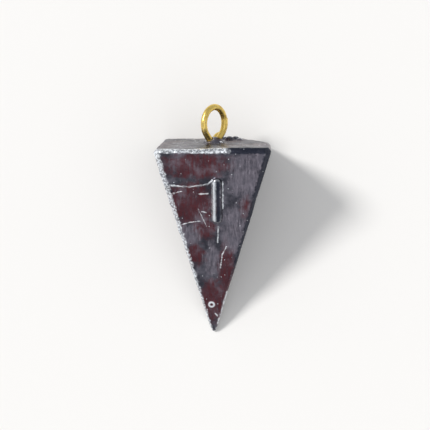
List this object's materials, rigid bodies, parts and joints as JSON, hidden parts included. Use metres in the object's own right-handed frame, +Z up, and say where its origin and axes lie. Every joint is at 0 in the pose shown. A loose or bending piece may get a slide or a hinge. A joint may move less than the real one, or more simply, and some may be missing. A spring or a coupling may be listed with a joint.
{
  "type": "pyramid sinker",
  "caption": "Cast lead pyramid weight lying on its back face, with a brass wire eye cast into the middle of its square base for a line or snap",
  "frame": {"origin": "centre of the bounding box at the bottom, on the surface that the back face rests on", "axes": "+Z up, +Y towards the base and the eye, -Y towards the point, +X to the right seen from above with the eye at the top"},
  "size_m": [0.016, 0.032, 0.0154],
  "materials": {
    "lead": "cast lead, tarnished grey with a dark red film and bright worn edges",
    "brass": "bright drawn brass wire, lightly tarnished"
  },
  "bodies": {
    "root": {"lead_body": "lead", "brass_eye": "brass"}
  },
  "joints": []
}
